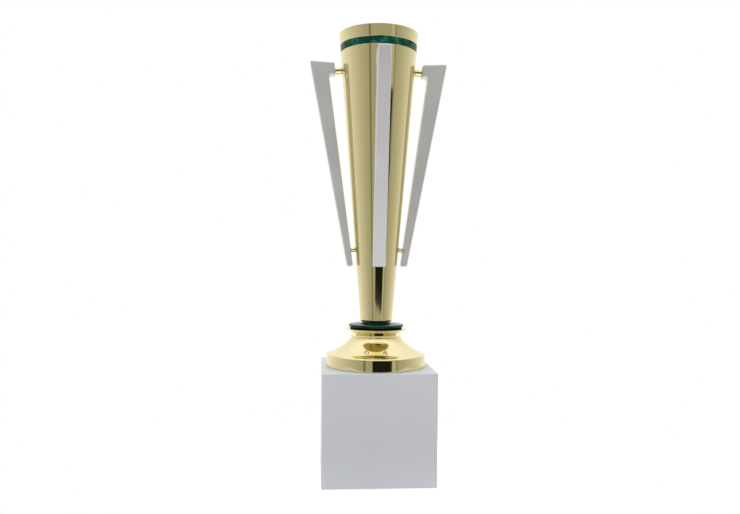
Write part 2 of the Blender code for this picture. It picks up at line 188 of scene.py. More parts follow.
def mark_edges(mesh):
    """Writes an attribute that is 1 on rounded edges and 0 on broad faces, for wear on the gold and
    painted shade on the silver and lacquer edges.
    """
    flat_area = 6.0 * MM * MM
    full_turn = math.radians(9)
    bm = bmesh.new()
    bm.from_mesh(mesh)
    values = []
    for vert in bm.verts:
        turn = max((vert.normal.angle(face.normal, 0) for face in vert.link_faces), default=0)
        broad = max((face.calc_area() for face in vert.link_faces), default=0) > flat_area
        values.append(0.0 if broad else min(1.0, max(0.0, turn - math.radians(2)) / full_turn))
    bm.free()
    attribute = mesh.attributes.new("edge", "FLOAT", "POINT")
    attribute.data.foreach_set("value", values)


def finish_mesh(bm, name, sharp_angle=38, weighted=False, cutters=()):
    """Turns the bmesh into a smooth-shaded object, with the cutters taken out of it."""
    bmesh.ops.remove_doubles(bm, verts=bm.verts, dist=0.001 * MM)
    bmesh.ops.recalc_face_normals(bm, faces=bm.faces)
    mesh = bpy.data.meshes.new(name)
    bm.to_mesh(mesh)
    bm.free()
    obj = bpy.data.objects.new(name, mesh)
    bpy.context.scene.collection.objects.link(obj)
    if cutters:
        collection = bpy.data.collections.new(name + "_cutters")
        for cutter in cutters:
            collection.objects.link(cutter)
        cut = obj.modifiers.new("holes", "BOOLEAN")
        cut.operation = "DIFFERENCE"
        cut.solver = "EXACT"
        cut.operand_type = "COLLECTION"
        cut.collection = collection
        apply_modifiers(obj)
        for cutter in cutters:
            bpy.data.objects.remove(cutter, do_unlink=True)
        bpy.data.collections.remove(collection)
    obj.data.shade_smooth()
    obj.data.set_sharp_from_angle(angle=math.radians(sharp_angle))
    mark_edges(obj.data)
    if weighted:
        weigh = obj.modifiers.new("weighted", "WEIGHTED_NORMAL")
        weigh.keep_sharp = True
        apply_modifiers(obj)
    return obj


def apply_modifiers(obj):
    bpy.context.view_layer.update()
    evaluated = obj.evaluated_get(bpy.context.evaluated_depsgraph_get())
    mesh = bpy.data.meshes.new_from_object(evaluated)
    mesh.name = obj.name
    obj.modifiers.clear()
    obj.data = mesh


def turn(outline, steps):
    """A closed (radius, height) outline turned about the Z axis, as a bmesh."""
    bm = bmesh.new()
    verts = [bm.verts.new((radius, 0, height)) for radius, height in outline]
    edges = [bm.edges.new(pair) for pair in zip(verts, verts[1:] + verts[:1])]
    bmesh.ops.spin(
        bm, geom=verts + edges, axis=(0, 0, 1), cent=(0, 0, 0), angle=math.tau, steps=steps
    )
    return bm


def turned(name, outline, steps=ROUND_STEPS, cutters=()):
    return finish_mesh(turn(divided(outline), steps), name, cutters=cutters)


def prism(outline, thickness, edge, segments=5):
    """An (x, z) outline made solid along Y, centred on y = 0, with its long edges rounded."""
    bm = bmesh.new()
    face = bm.faces.new([bm.verts.new((x, -thickness / 2, z)) for x, z in outline])
    extruded = bmesh.ops.extrude_face_region(bm, geom=[face])["geom"]
    moved = [item for item in extruded if isinstance(item, bmesh.types.BMVert)]
    bmesh.ops.translate(bm, verts=moved, vec=(0, thickness, 0))
    rims = [e for e in bm.edges if abs(e.verts[0].co.y - e.verts[1].co.y) < 0.001 * MM]
    bmesh.ops.bevel(bm, geom=rims, offset=edge, segments=segments, profile=0.5, affect="EDGES")
    return bm


def drill(radius, start, end, steps=SMALL_STEPS):
    """A round bar from start to end, as an object to cut with."""
    start, end = Vector(start), Vector(end)
    length = (end - start).length
    bm = bmesh.new()
    place = Matrix.Translation((start + end) / 2)
    place = place @ (end - start).to_track_quat("Z", "Y").to_matrix().to_4x4()
    bmesh.ops.create_cone(
        bm,
        cap_ends=True,
        segments=steps,
        radius1=radius,
        radius2=radius,
        depth=length,
        matrix=place,
    )
    mesh = bpy.data.meshes.new("drill")
    bm.to_mesh(mesh)
    bm.free()
    return bpy.data.objects.new("drill", mesh)


def place(piece, slot, *nodes):
    """The piece stands for these CAD nodes, on the trophy's one body, in their finish."""
    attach(piece, "root")
    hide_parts(*nodes)
    piece.data.materials.clear()
    piece.data.materials.append(MATERIALS[slot])


# Fixings: where each screw's line runs ----------------------------------------------------------


def fixing(level):
    """(point on the cup's wall, outward direction, distance to the fin, spacer's radius) at +X."""
    lowest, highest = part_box(f"{level}_spacer_right")
    outward = Vector((math.cos(WALL_LEAN), 0, -math.sin(WALL_LEAN)))
    radius = (highest.y - lowest.y) / 2
    axis_z = (lowest.z + highest.z) / 2
    middle = Vector(((lowest.x + highest.x) / 2, 0, axis_z))
    half_width = (highest.x - lowest.x) / 2
    half_length = (half_width - radius * math.sin(WALL_LEAN)) / math.cos(WALL_LEAN)
    return middle - outward * half_length, outward, 2 * half_length, radius


def at_side(point, side):
    return Matrix.Rotation(math.radians(SIDES[side]), 4, "Z") @ Vector(point)


# Pieces of the stack ----------------------------------------------------------------------------


def make_block():
    lowest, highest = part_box("base_block")
    bm = bmesh.new()
    bmesh.ops.create_cube(bm, size=1.0)
    size = highest - lowest
    centre = (highest + lowest) / 2
    bmesh.ops.transform(
        bm, verts=bm.verts, matrix=Matrix.Translation(centre) @ Matrix.Diagonal((*size, 1.0))
    )
    bmesh.ops.bevel(
        bm, geom=bm.edges[:], offset=BLOCK_EDGE, segments=5, profile=0.5, affect="EDGES"
    )
    top = (0, 0, highest.z + MM)
    step = (0, 0, lowest.z + COUNTERBORE_DEPTH)
    holes = [
        drill(ROD_HOLE_RADIUS, top, (0, 0, step[2] - MM)),
        drill(COUNTERBORE_RADIUS, step, (0, 0, lowest.z - MM)),
    ]
    block = finish_mesh(bm, "Block", sharp_angle=60, weighted=True, cutters=holes)
    place(block, "block_lacquer", "base_block")


def inside_of(points, distance):
    """The points of a falling outline moved square to it, towards the axis."""
    moved = []
    for index, point in enumerate(points):
        before = Vector(points[max(index - 1, 0)])
        after = Vector(points[min(index + 1, len(points) - 1)])
        along = (after - before).normalized()
        moved.append((point[0] + along.y * distance, point[1] - along.x * distance))
    return moved


def make_foot():
    bottom = low("foot_shell")
    lip_top = high("foot_shell")
    skirt_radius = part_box("foot_shell")[1].x
    dish_top = lip_top - DISH_DEPTH
    neck = bottom + NECK_HEIGHT
    lip_high = lip_top - LIP_THICKNESS
    curl = LIP_RADIUS - NECK_RADIUS - LIP_CONE
    lip = []
    for step in range(LIP_STEPS):
        share = 1 - (step / LIP_STEPS) ** 1.6
        spread = LIP_CONE * share + curl * share**LIP_POWER
        lip.append((NECK_RADIUS + spread, neck + (lip_high - neck) * share))
    flare = []
    for step in range(FLARE_STEPS + 1):
        share = step / FLARE_STEPS
        spread = FLARE_SPREAD * share**FLARE_POWER + LEDGE_SPREAD * share**LEDGE_POWER
        flare.append((NECK_RADIUS + spread, neck - (NECK_HEIGHT - FLARE_END) * share))
    waist = rounded([(*lip[-2], 0), (*flare[0], NECK_FILLET), (*flare[2], 0)])
    skirt = rounded(
        [
            (*flare[-1], 0),
            (skirt_radius, bottom + SKIRT_HEIGHT, SHOULDER),
            (skirt_radius, bottom, 0),
        ],
        steps=10,
    )
    lip_edge = rounded(
        [
            (DISH_RADIUS, dish_top, 0),
            (LIP_RADIUS - LIP_EDGE, lip_top, LIP_EDGE * 0.6),
            (LIP_RADIUS, lip_top - LIP_EDGE, LIP_EDGE * 0.6),
            (LIP_RADIUS, lip_high, 0),
        ],
        steps=4,
    )
    inner_skirt = skirt_radius - FOOT_WALL
    outline = [(ROD_HOLE_RADIUS, dish_top)]
    outline += lip_edge[:-1] + lip[:-1]
    outline += waist[1:-1] + flare[2:] + skirt[1:]
    outline += [(inner_skirt, bottom), (inner_skirt, bottom + SKIRT_HEIGHT - FOOT_WALL)]
    outline += inside_of(flare, FOOT_WALL)[-8::-6]
    plate_bottom = dish_top - FOOT_WALL
    outline += [(NECK_RADIUS - FOOT_WALL, plate_bottom), (ROD_HOLE_RADIUS, plate_bottom)]
    place(turned("Foot", outline), "polished_gold", "foot_shell")


def make_spacer_disc():
    # A black washer under the ring; its black also stands in for the shadow in the gap between ring
    # and foot.
    lowest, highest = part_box("spacer_disc")
    edge = 0.15 * MM
    outline = rounded(
        [
            (ROD_HOLE_RADIUS, highest.z, 0),
            (highest.x, highest.z, edge),
            (highest.x, lowest.z, edge),
            (ROD_HOLE_RADIUS, lowest.z, 0),
        ],
        steps=3,
    )
    place(turned("SpacerDisc", outline), "black_nylon", "spacer_disc")


def make_ring():
    """The marbled disc between foot and cup: domed on top, with a rounded edge."""
    lowest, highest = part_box("marble_ring")
    outline = rounded(
        [
            (ROD_HOLE_RADIUS, highest.z, 0),
            (RING_CROWN_RADIUS, highest.z, RING_CROWN_BLEND),
            (highest.x, highest.z - RING_EDGE_DROP, RING_UPPER_EDGE),
            (highest.x, lowest.z, RING_LOWER_EDGE),
            (ROD_HOLE_RADIUS, lowest.z, 0),
        ],
        steps=10,
    )
    place(turned("MarbleRing", outline), "green_marble", "marble_ring")


def make_cup():
    top = CUP_BOTTOM + CUP_HEIGHT
    groove_high = top - RIM_STRIP_HEIGHT
    groove_low = groove_high - GROOVE_HEIGHT
    cut = GROOVE_EDGE
    floor = CUP_BOTTOM + CUP_WALL
    corners = [
        (ROD_HOLE_RADIUS, floor, 0),
        (cup_radius(floor) - CUP_WALL, floor, CUP_FLOOR_EDGE),
        (CUP_RIM_RADIUS - CUP_WALL, top, RIM_EDGE),
        (CUP_RIM_RADIUS, top, RIM_EDGE),
        (cup_radius(groove_high), groove_high, cut),
        (cup_radius(groove_high) - GROOVE_DEPTH, groove_high, 0),
        (cup_radius(groove_low) - GROOVE_DEPTH, groove_low, 0),
        (cup_radius(groove_low), groove_low, cut),
        (cup_radius(CUP_BOTTOM), CUP_BOTTOM, CUP_BOTTOM_EDGE),
        (ROD_HOLE_RADIUS, CUP_BOTTOM, 0),
    ]
    holes = []
    for level in LEVELS:
        wall_point, outward, _, _ = fixing(level)
        start = wall_point - outward * 3 * CUP_WALL
        end = wall_point + outward * CUP_WALL
        for side in SIDES:
            radius = SCREW_RADIUS[level] + SCREW_CLEARANCE
            holes.append(drill(radius, at_side(start, side), at_side(end, side)))
    cup = turned("Cup", rounded(corners), cutters=holes)
    place(cup, "polished_gold", "cup_shell")


def make_band():
    """The marbled band that lies in the groove below the cup's rim."""
    top, bottom = high("rim_band"), low("rim_band")
    outline = rounded(
        [
            (cup_radius(top) - BAND_INSET, top, 0),
            (cup_radius(top) - BAND_INSET + BAND_THICKNESS, top, BAND_EDGE),
            (cup_radius(bottom) - BAND_INSET + BAND_THICKNESS, bottom, BAND_EDGE),
            (cup_radius(bottom) - BAND_INSET, bottom, 0),
        ],
        steps=3,
    )
    place(turned("RimBand", outline), "green_marble", "rim_band")


# Fins and spacers -------------------------------------------------------------------------------


def fin_outline():
    """The fin's (radius, z) outline: a tapering upright with a hook at the top."""
    hook_gap = HOOK_CLEARANCE / math.cos(WALL_LEAN)
    top = CUP_BOTTOM + FIN_TOP_OUTER_HEIGHT
    inner_top = CUP_BOTTOM + FIN_TOP_INNER_HEIGHT
    notch = CUP_BOTTOM + NOTCH_HEIGHT
    bottom = CUP_BOTTOM + FIN_BOTTOM_HEIGHT
    corners = [
        (FIN_TOP_OUTER, top, FIN_CORNER),
        (FIN_BOTTOM_OUTER, bottom, FIN_CORNER),
        (FIN_BOTTOM_INNER, bottom, FIN_CORNER),
        (NOTCH_RADIUS, notch, FIN_NOTCH_FILLET),
        (cup_radius(notch) + hook_gap, notch, FIN_CORNER),
        (cup_radius(inner_top) + hook_gap, inner_top, FIN_CORNER),
    ]
    return rounded(corners, steps=8)


def make_fins():
    """One fin is cut and drilled at +X, and the four fins are turned copies of it."""
    holes = []
    for level in LEVELS:
        wall_point, outward, length, _ = fixing(level)
        start = wall_point + outward * (length - MM)
        end = wall_point + outward * (length + SCREW_GRIP[level] + 2 * SCREW_CLEARANCE)
        holes.append(drill(SCREW_RADIUS[level] + SCREW_CLEARANCE, start, end))
    bm = prism(fin_outline(), 2 * FIN_HALF, FIN_EDGE)
    pattern = finish_mesh(bm, "Fin", sharp_angle=60, weighted=True, cutters=holes)
    for side, azimuth in SIDES.items():
        mesh = pattern.data.copy()
        mesh.transform(Matrix.Rotation(math.radians(azimuth), 4, "Z"))
        fin = bpy.data.objects.new("Fin_" + side.capitalize(), mesh)
        bpy.context.scene.collection.objects.link(fin)
        place(fin, "satin_silver", f"fin_{side}")
    bpy.data.objects.remove(pattern, do_unlink=True)


def make_spacer(level, side):
    wall_point, outward, length, radius = fixing(level)
    bore = SCREW_RADIUS[level] + SCREW_CLEARANCE
    outline = rounded(
        [
            (bore, length, 0),
            (radius, length, SPACER_EDGE),
            (radius, 0, SPACER_EDGE),
            (bore, 0, 0),
        ],
        steps=4,
    )
    bm = turn(divided(outline, longest=MM), SMALL_STEPS)
    lay = outward.to_track_quat("Z", "Y").to_matrix().to_4x4()
    spin = Matrix.Rotation(math.radians(SIDES[side]), 4, "Z")
    bmesh.ops.transform(bm, verts=bm.verts, matrix=spin @ Matrix.Translation(wall_point) @ lay)
    spacer = finish_mesh(bm, f"Spacer_{level.capitalize()}_{side.capitalize()}")
    place(spacer, "polished_gold", f"{level}_spacer_{side}")


# Materials --------------------------------------------------------------------------------------


class Nodes:
    """A material's node tree, with short ways to add and join nodes."""

    def __init__(self, name):
        self.material = bpy.data.materials.new(name)
        self.material.use_nodes = True
        self.tree = self.material.node_tree
        self.shader = self.tree.nodes["Principled BSDF"]
        self.coords = self.add("ShaderNodeTexCoord").outputs["Object"]

    def add(self, kind, **settings):
        node = self.tree.nodes.new(kind)
        for key, value in settings.items():
            setattr(node, key, value)
        return node

    def join(self, output, socket):
        self.tree.links.new(output, socket)

    def scaled(self, scale):
        """Object coordinates multiplied by an (x, y, z) scale."""
        node = self.add("ShaderNodeMapping")
        node.inputs["Scale"].default_value = scale
        self.join(self.coords, node.inputs["Vector"])
        return node.outputs["Vector"]

    def noise(self, scale, detail=4.0, roughness=0.55, vector=None, distortion=0.0):
        """A noise value, from features of 1 / scale metres."""
        node = self.add("ShaderNodeTexNoise")
        node.inputs["Scale"].default_value = scale
        node.inputs["Detail"].default_value = detail
        node.inputs["Roughness"].default_value = roughness
        node.inputs["Distortion"].default_value = distortion
        self.join(vector or self.coords, node.inputs["Vector"])
        return node.outputs["Fac"]

    def ramp(self, value, stops):
        """Colour for a value, through (position, colour) stops."""
        node = self.add("ShaderNodeValToRGB")
        elements = node.color_ramp.elements
        while len(elements) < len(stops):
            elements.new(0.5)
        for element, (position, colour) in zip(elements, stops):
            element.position = position
            element.color = (*colour, 1.0)
        self.join(value, node.inputs["Fac"])
        return node.outputs["Color"]

    def range(self, value, from_low, from_high, to_low, to_high, smooth=False):
        node = self.add("ShaderNodeMapRange")
        node.interpolation_type = "SMOOTHSTEP" if smooth else "LINEAR"
        node.inputs["From Min"].default_value = from_low
        node.inputs["From Max"].default_value = from_high
        node.inputs["To Min"].default_value = to_low
        node.inputs["To Max"].default_value = to_high
        self.join(value, node.inputs["Value"])
        return node.outputs["Result"]

    def math(self, operation, first, second):
        node = self.add("ShaderNodeMath", operation=operation)
        for socket, value in zip(node.inputs, (first, second)):
            if isinstance(value, (int, float)):
                socket.default_value = value
            else:
                self.join(value, socket)
        return node.outputs["Value"]

    def mix(self, factor, first, second, blend="MIX"):
        node = self.add("ShaderNodeMix", data_type="RGBA", blend_type=blend)
        sockets = (node.inputs["Factor"], node.inputs[6], node.inputs[7])
        for socket, value in zip(sockets, (factor, first, second)):
            if isinstance(value, (int, float)):
                socket.default_value = value
            elif isinstance(value, tuple):
                socket.default_value = (*value, 1.0)
            else:
                self.join(value, socket)
        return node.outputs[2]

    def edge(self):
        """1 on rounded edges, 0 on broad faces."""
        return self.add("ShaderNodeAttribute", attribute_name="edge").outputs["Fac"]

    def bump(self, height, strength, distance):
        node = self.add("ShaderNodeBump")
        node.inputs["Strength"].default_value = strength
        node.inputs["Distance"].default_value = distance
        self.join(height, node.inputs["Height"])
        self.join(node.outputs["Normal"], self.shader.inputs["Normal"])

    def set(self, **values):
        """Constant values on the shader's sockets, with _ for a space in their names."""
        for name, value in values.items():
            self.shader.inputs[name.replace("_", " ")].default_value = value

    def feed(self, **outputs):
        for name, output in outputs.items():
            self.join(output, self.shader.inputs[name.replace("_", " ")])


def polished_gold():
    """Mirror plating: a faint drift in tone, wiping smudges and fine turning lines."""
    m = Nodes("polished_gold")
    drift = m.noise(45.0, detail=3.0)
    tone = m.ramp(drift, [(0.3, (0.865, 0.765, 0.43)), (0.7, (0.885, 0.790, 0.45))])
    worn = m.math("MULTIPLY", m.edge(), m.noise(400.0, detail=2.0))
    tone = m.mix(worn, tone, (0.90, 0.83, 0.60))
    smudge = m.range(m.noise(30.0, detail=6.0, distortion=0.6), 0.45, 0.75, 0.0, 0.045, smooth=True)
    fine = m.range(m.noise(900.0, detail=2.0), 0.3, 0.7, 0.018, 0.04)
    lines = m.noise(1.0, detail=2.0, vector=m.scaled((40.0, 40.0, 3500.0)))
    m.set(Metallic=1.0)
    m.feed(Base_Color=tone, Roughness=m.math("ADD", smudge, fine))
    m.bump(lines, 0.05, 0.004 * MM)
    return m.material


def green_marble():
    """Glossy marbled lacquer: green clouds, black veins and pale threads, and painted shade that
    darkens the low ring.
    """
    m = Nodes("green_marble")
    warp = m.add("ShaderNodeTexNoise")
    warp.inputs["Scale"].default_value = 110.0
    warp.inputs["Detail"].default_value = 3.0
    m.join(m.coords, warp.inputs["Vector"])
    pushed = m.add("ShaderNodeVectorMath", operation="MULTIPLY_ADD")
    m.join(warp.outputs["Color"], pushed.inputs[0])
    pushed.inputs[1].default_value = (0.012, 0.012, 0.006)
    m.join(m.coords, pushed.inputs[2])
    vector = pushed.outputs["Vector"]
    cloud = m.noise(170.0, detail=7.0, roughness=0.62, vector=vector)
    base = m.ramp(
        cloud,
        [
            (0.30, (0.001, 0.020, 0.013)),
            (0.44, (0.002, 0.058, 0.040)),
            (0.54, (0.004, 0.100, 0.068)),
            (0.61, (0.016, 0.190, 0.140)),
            (0.74, (0.085, 0.350, 0.275)),
        ],
    )
    cells = m.add("ShaderNodeTexVoronoi", feature="DISTANCE_TO_EDGE")
    cells.inputs["Scale"].default_value = 95.0
    m.join(vector, cells.inputs["Vector"])
    breaks = m.range(m.noise(60.0, detail=2.0), 0.42, 0.60, 0.0, 1.0, smooth=True)
    crack = m.range(cells.outputs["Distance"], 0.02, 0.12, 1.0, 0.0, smooth=True)
    vein = m.math("MULTIPLY", crack, breaks)
    base = m.mix(m.math("MULTIPLY", vein, 0.85), base, (0.014, 0.010, 0.010))
    swirl = m.noise(75.0, detail=5.0, vector=vector)
    thread = m.math("ABSOLUTE", m.math("SUBTRACT", swirl, 0.5), 0.0)
    pale = m.range(thread, 0.0, 0.012, 0.35, 0.0, smooth=True)
    base = m.mix(pale, base, (0.11, 0.27, 0.21))
    # Painted shade: below the band's height the marble is darkened, so the ring between foot and
    # cup reads shaded.
    parts = m.add("ShaderNodeSeparateXYZ")
    m.join(m.coords, parts.inputs["Vector"])
    painted_ring_shade = m.range(parts.outputs["Z"], 0.15, 0.35, 0.65, 0.0)
    base = m.mix(painted_ring_shade, base, (0.001, 0.016, 0.010))
    m.set(Specular_IOR_Level=0.13)
    m.feed(Base_Color=base, Roughness=m.range(cloud, 0.3, 0.7, 0.16, 0.08))
    m.bump(m.noise(700.0, detail=2.0), 0.06, 0.01 * MM)
    return m.material


def satin_silver():
    """Satin metal: fine grain, faint long drifts, and painted shade that darkens the rounded edges.
    """
    m = Nodes("satin_silver")
    grain = m.noise(4200.0, detail=2.0, roughness=0.6)
    drift = m.noise(28.0, detail=3.0)
    tone = m.ramp(drift, [(0.3, (0.790, 0.795, 0.815)), (0.7, (0.825, 0.830, 0.850))])
    tone = m.mix(m.range(grain, 0.35, 0.65, 0.0, 0.10), tone, (0.64, 0.642, 0.655))
    # Painted shade: the rounded edges are darkened to damp the bright reflections they catch.
    painted_edge_shade = m.math("MULTIPLY", m.edge(), m.range(m.noise(220.0, detail=3.0), 0.3, 0.6, 0.5, 1.0))
    tone = m.mix(painted_edge_shade, tone, (0.68, 0.69, 0.72))
    patches = m.range(drift, 0.3, 0.7, 0.42, 0.48)
    rough = m.math("ADD", patches, m.range(grain, 0.3, 0.7, -0.03, 0.03))
    m.set(Metallic=0.6)
    m.feed(Base_Color=tone, Roughness=rough)
    m.bump(grain, 0.12, 0.01 * MM)
    return m.material


def block_lacquer():
    """Fine metallic lacquer over board: tiny flakes, soft orange peel, and painted shade on the
    edges.
    """
    m = Nodes("block_lacquer")
    flakes = m.add("ShaderNodeTexVoronoi", feature="F1")
    flakes.inputs["Scale"].default_value = 2600.0
    m.join(m.coords, flakes.inputs["Vector"])
    flake = m.add("ShaderNodeSeparateColor")
    m.join(flakes.outputs["Color"], flake.inputs["Color"])
    cloud = m.noise(14.0, detail=4.0)
    tone = m.ramp(cloud, [(0.3, (0.800, 0.825, 0.900)), (0.7, (0.825, 0.850, 0.925))])
    tone = m.mix(m.range(flake.outputs["Red"], 0.0, 1.0, 0.0, 0.12), tone, (0.64, 0.67, 0.73))
    # Painted shade: the rounded edges are darkened to damp the bright reflections they catch.
    painted_edge_shade = m.math("MULTIPLY", m.edge(), m.range(m.noise(120.0, detail=3.0), 0.35, 0.65, 0.3, 1.0))
    tone = m.mix(painted_edge_shade, tone, (0.58, 0.60, 0.65))
    patches = m.range(cloud, 0.3, 0.7, 0.56, 0.62)
    rough = m.math("ADD", patches, m.range(flake.outputs["Green"], 0, 1, -0.03, 0.03))
    m.set(Metallic=0.08, Specular_IOR_Level=0.3)
    m.feed(Base_Color=tone, Roughness=rough)
    m.bump(m.noise(380.0, detail=3.0), 0.10, 0.03 * MM)
    return m.material


def zinc_steel():
    """Bright zinc: mottled crystals and a soft sheen, duller in patches."""
    m = Nodes("zinc_steel")
    mottle = m.noise(900.0, detail=5.0, roughness=0.65)
    tone = m.ramp(mottle, [(0.3, (0.50, 0.51, 0.53)), (0.7, (0.64, 0.645, 0.65))])
    m.set(Metallic=1.0)
    m.feed(Base_Color=tone, Roughness=m.range(mottle, 0.3, 0.7, 0.36, 0.22))
    m.bump(m.noise(2500.0, detail=2.0), 0.15, 0.01 * MM)
    return m.material


def black_nylon():
    """Matt black moulded plastic with a faint grain; its black also stands in for the shadow in the
    gap under the ring.
    """
    m = Nodes("black_nylon")
    grain = m.noise(2200.0, detail=2.0)
    tone = m.ramp(grain, [(0.35, (0.002, 0.002, 0.002)), (0.65, (0.006, 0.006, 0.006))])
    m.set(Specular_IOR_Level=0.05)
    m.feed(Base_Color=tone, Roughness=m.range(grain, 0.3, 0.7, 0.62, 0.5))
    m.bump(grain, 0.2, 0.02 * MM)
    return m.material


MATERIALS = {
    make.__name__: make()
    for make in (
        polished_gold,
        green_marble,
        satin_silver,
        block_lacquer,
        zinc_steel,
        black_nylon,
    )
}


def finish_cad_nodes():
    """Gives the hardware that is kept from the CAD its zinc finish."""
    kept = ["base_washer", "base_nut", "tie_rod", "cup_washer", "cup_nut"]
    kept += [f"{level}_screw_{side}" for level in LEVELS for side in SIDES]
    for name in kept:
        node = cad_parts[name]
        node.data.materials.clear()
        node.data.materials.append(MATERIALS["zinc_steel"])


# Studio -----------------------------------------------------------------------------------------

CAMERA_PLACE = Vector((-0.0557, -0.6431, 0.1987))
CAMERA_YAW = 4.4  # degrees, clockwise from looking along +Y
CAMERA_ROLL = 0.553  # degrees
CAMERA_LENS = 33.81  # mm on a sensor 36 mm wide
CAMERA_AZIMUTH = math.atan2(CAMERA_PLACE.y, CAMERA_PLACE.x)

# The light tent rises from dim at the camera to white behind the trophy, by a raised cosine of the
# angle from the camera's direction. Angles are in degrees, clockwise seen from below.
TENT_DIM = (0.36, 0.35, 0.29)
TENT_WHITE = (1.00, 1.00, 1.00)
TENT_FRONT_SHARE = 0.06  # least share of white
TENT_RIGHT_POWER = 1.6  # above 1 keeps the tent dim for longer on the right
# Strips of the tent: (start, end, softness, colour), a brighter panel and two dark seams
TENT_STRIPS = (
    (38.0, 46.5, 1.5, (0.51, 0.50, 0.43)),
    (-28.3, -22.7, 1.5, (0.20, 0.19, 0.16)),
    (47.2, 52.8, 1.2, (0.31, 0.30, 0.26)),
)
OVERHEAD_LIGHT = (1.10, 1.10, 1.10)
OVERHEAD_START = 22  # degrees of rise
OVERHEAD_END = 60
UNDERFOOT_LIGHT = (1.25, 1.25, 1.26)
UNDERFOOT_START = 14.5  # degrees of fall
UNDERFOOT_END = 21
UNDERFOOT_SHARE = 0.85
OPENING_DARK = (0.012, 0.013, 0.011)
OPENING_EDGE = (0.10, 0.055, 0.030)
OPENING_WOBBLE = 9.0  # degrees from one side to the other
OPENING_WOBBLE_RISE = 0.12  # share of the wobble that moves the lower edge
OPENING_SLANT = 0.02  # degrees of rise for a degree round
OPENING_SLANT_START = -8.0
OPENING_SLANT_WIDTH = 18.0
# Each edge runs softly from its first angle to its second
OPENING_LOWER_EDGE = (-13.6, -13.2)
OPENING_UPPER_EDGE = (4.5, 5.2)
OPENING_LEFT_EDGE = (-9, -7)
OPENING_RIGHT_EDGE = (36, 39)
OPENING_FRINGE = (33, 36)
OPENING_WIDER_ABOVE = (-6.0, -4.0)
OPENING_EXTRA_WIDTH = 11.0
HOOD_DARK = (0.035, 0.012, 0.012)
HOOD_RISE = (10, 23, 0.6)  # start, end, softness
HOOD_ROUND = (-2, 23, 1.0)
FLOOR_RADIUS = 0.26
FLOOR_FADE_START = 0.08
FLOOR_FADE_END = 0.24
FLOOR_GLOW = 0.12
FLOOR_GLOW_SEEN = 0.28  # more glow, for camera rays only
LAMP_PLACE = Vector((-0.25, -0.1, 1.35))
LAMP_TARGET = Vector((0, 0, 0.2))
LAMP_WIDTH = 0.9
LAMP_POWER = 0.3


class WorldNodes:
    """The world's node tree, with short ways to add and join nodes."""

    def __init__(self, tree):
        self.tree = tree
        self.tree.nodes.clear()

    def add(self, kind, **settings):
        node = self.tree.nodes.new(kind)
        for key, value in settings.items():
            setattr(node, key, value)
        return node

    def join(self, output, socket):
        self.tree.links.new(output, socket)

    def calc(self, operation, *values):
        node = self.add("ShaderNodeMath", operation=operation)
        for socket, value in zip(node.inputs, values):
            if isinstance(value, (int, float)):
                socket.default_value = value
            else:
                self.join(value, socket)
        return node.outputs["Value"]

    def step(self, value, start, end):
        """0 below start, 1 above end, and smooth between."""
        node = self.add("ShaderNodeMapRange", interpolation_type="SMOOTHSTEP")
        node.inputs["From Min"].default_value = start
        node.inputs["From Max"].default_value = end
        self.join(value, node.inputs["Value"])
        return node.outputs["Result"]

    def before(self, value, start, end):
        """1 below start, 0 above end, and smooth between."""
        return self.calc("SUBTRACT", 1.0, self.step(value, start, end))

    def within(self, value, start, end, soft):
        """1 from start to end and 0 outside, with soft edges."""
        past_start = self.step(value, start - soft, start + soft)
        return self.calc("MULTIPLY", past_start, self.before(value, end - soft, end + soft))

    def mix(self, factor, first, second):
        node = self.add("ShaderNodeMix", data_type="RGBA")
        self.join(factor, node.inputs["Factor"])
        for socket, value in ((node.inputs[6], first), (node.inputs[7], second)):
            if isinstance(value, tuple):
                socket.default_value = (*value, 1.0)
            else:
                self.join(value, socket)
        return node.outputs[2]


def sine(angle):
    return math.sin(math.radians(angle))


def tent_light(w, degrees, z):
    """The tent's colour by direction: the rise to white, its strips, and light above and below."""
    away = w.calc("MULTIPLY_ADD", w.calc("COSINE", w.calc("RADIANS", degrees)), -0.5, 0.5)
    on_right = w.calc("GREATER_THAN", degrees, 0.0)
    power = w.calc("MULTIPLY_ADD", on_right, TENT_RIGHT_POWER - 1.0, 1.0)
    share = w.calc("MAXIMUM", w.calc("POWER", away, power), TENT_FRONT_SHARE)
    surround = w.mix(share, TENT_DIM, TENT_WHITE)
    for start, end, soft, colour in TENT_STRIPS:
        surround = w.mix(w.within(degrees, start, end, soft), surround, colour)
    overhead = w.step(z, sine(OVERHEAD_START), sine(OVERHEAD_END))
    surround = w.mix(overhead, surround, OVERHEAD_LIGHT)
    fall = w.calc("MULTIPLY", z, -1.0)
    underfoot = w.step(fall, sine(UNDERFOOT_START), sine(UNDERFOOT_END))
    return w.mix(w.calc("MULTIPLY", underfoot, UNDERFOOT_SHARE), surround, UNDERFOOT_LIGHT)


